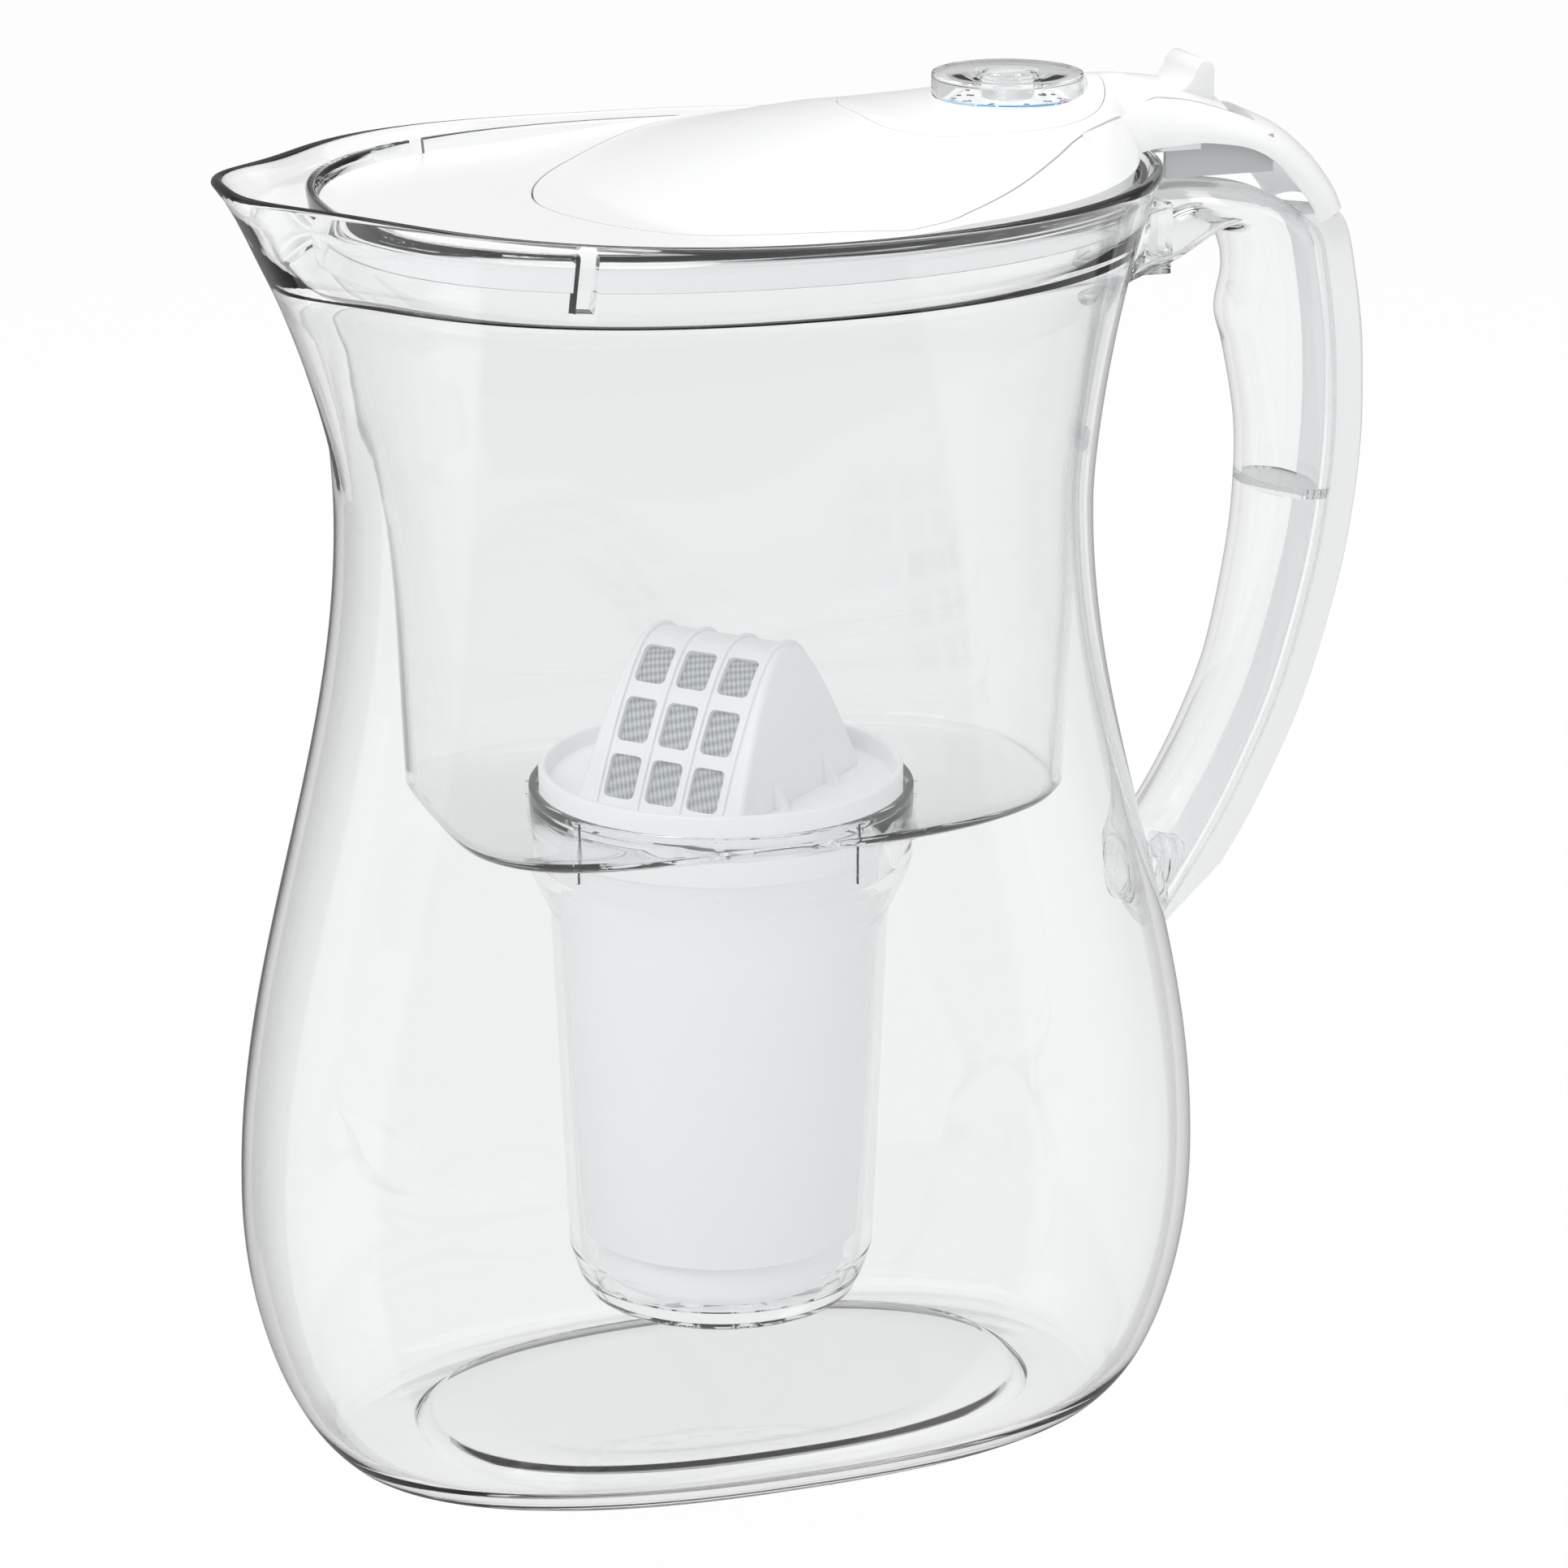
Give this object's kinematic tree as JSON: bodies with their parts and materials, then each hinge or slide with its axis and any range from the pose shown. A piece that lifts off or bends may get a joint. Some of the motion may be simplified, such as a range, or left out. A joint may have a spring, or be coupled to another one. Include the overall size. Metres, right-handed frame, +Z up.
{
  "type": "water filter pitcher",
  "caption": "Clear oval jug with pouring spout and loop handle, holding a clear hopper with a white filter cartridge, closed by a white lid with a flip flap and a month dial",
  "frame": {"origin": "middle of the length and width, at the flat of the foot ring", "axes": "+X from the spout to the handle, +Y to the side away from the picture's camera, +Z up"},
  "size_m": [0.2265, 0.1354, 0.2643],
  "materials": {
    "clear_jug": null,
    "clear_grip": "clear gloss plastic",
    "clear_hopper": "clear gloss plastic",
    "clear_dial": "clear gloss plastic",
    "white_gloss": "white moulded plastic, soft gloss",
    "white_matte": "white moulded plastic, satin",
    "white_pin": "moulded pin",
    "grey_mesh": "fine woven screen",
    "dark_granules": "packed granules",
    "printed_white": "printed disc",
    "printed_ring": "printed colour ring"
  },
  "bodies": {
    "jug": {"jug_body": "clear_jug", "handle_shell": "clear_grip", "handle_spine": "white_gloss", "handle_web": "clear_grip", "neck_bracket": "clear_grip", "foot_socket": "clear_grip"},
    "hopper": {"reservoir": "clear_hopper", "filter_cup": "clear_hopper"},
    "cartridge": {"cartridge_body": "white_matte", "cartridge_tray": "white_matte", "cartridge_dome": "white_matte", "cartridge_mesh": "grey_mesh", "cartridge_cap": "white_matte", "filter_media": "dark_granules", "outlet_screen": "grey_mesh"},
    "lid": {"lid_base": "white_gloss", "hinge_pin": "white_pin"},
    "flap": {"flip_lid": "white_gloss", "thumb_tab": "white_gloss", "indicator_tray": "white_gloss", "dial_disc": "printed_white", "dial_scale": "printed_ring", "dial_spindle": "white_gloss"},
    "dial": {"dial_cover": "clear_dial"}
  },
  "joints": [
    {"name": "hopper_lift", "type": "slide", "parent": "jug", "child": "hopper", "axis": [0, 0, 1], "range_m": [0, 0.24]},
    {"name": "cartridge_lift", "type": "slide", "parent": "hopper", "child": "cartridge", "axis": [0, 0, 1], "range_m": [0, 0.055]},
    {"name": "lid_lift", "type": "slide", "parent": "hopper", "child": "lid", "axis": [0, 0, 1], "range_m": [0, 0.1]},
    {"name": "flap_hinge", "type": "hinge", "parent": "lid", "child": "flap", "pos_m": [0.0694, 0, 0.2515], "axis": [0, 1, 0], "range_deg": [0, 70]},
    {"name": "dial_turn", "type": "hinge", "parent": "flap", "child": "dial", "pos_m": [0.0392, 0, 0.26], "axis": [0, 0, 1], "continuous": true}
  ]
}
